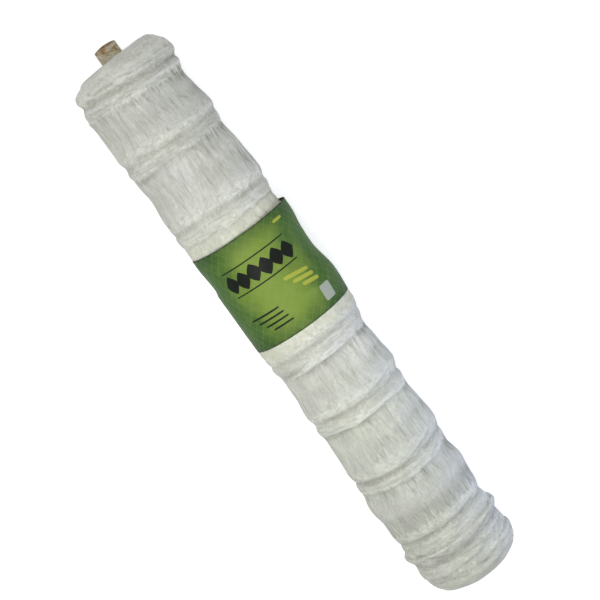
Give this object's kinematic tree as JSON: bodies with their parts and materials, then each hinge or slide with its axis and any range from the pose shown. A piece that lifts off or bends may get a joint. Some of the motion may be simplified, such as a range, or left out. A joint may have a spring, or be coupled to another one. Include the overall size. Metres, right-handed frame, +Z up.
{
  "type": "roll of plastic garden netting",
  "caption": "Long soft roll of fine plastic garden netting, wound on a paper core tube in bulging gathered bands and held by a wide printed wrapper.",
  "frame": {"origin": "on the surface the roll lies on, under the middle of its bounding box", "axes": "+X along the roll, from the end where the core sticks out to the end where it is flush; +Z up through the middle of the wrapper"},
  "size_m": [2.031, 0.3588, 0.336],
  "materials": {
    "netting": "translucent white extruded plastic net, many layers deep",
    "core_paper": "spiral-wound brown paper tube, worn and dusty",
    "wrapper_film": "satin printed green film"
  },
  "bodies": {
    "root": {"netting": "netting", "core_tube": "core_paper", "wrapper": "wrapper_film"}
  },
  "joints": []
}
